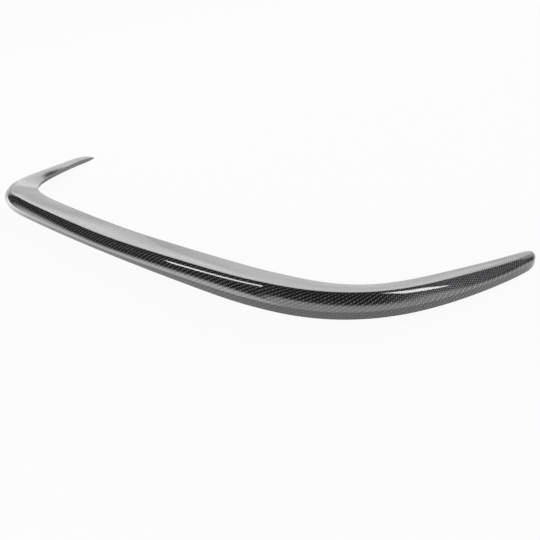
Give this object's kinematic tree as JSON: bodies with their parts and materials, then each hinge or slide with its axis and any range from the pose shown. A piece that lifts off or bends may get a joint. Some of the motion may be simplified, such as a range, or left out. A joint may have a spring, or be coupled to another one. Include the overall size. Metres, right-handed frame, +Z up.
{
  "type": "car rear spoiler",
  "caption": "Glossy carbon-fibre trunk-lip spoiler: a slim bar that wraps both rear corners of the lid and runs forward in two tapered arms.",
  "frame": {"origin": "middle of the bonding flange face under the nose, at the centre line of the car", "axes": "+X across the car to its right, +Y towards its front (the arms point this way), +Z up"},
  "size_m": [1.0898, 0.3123, 0.0711],
  "materials": {
    "carbon": "clear-coated 2x2 twill carbon-fibre laminate"
  },
  "bodies": {
    "root": {"spoiler_shell": "carbon"}
  },
  "joints": []
}
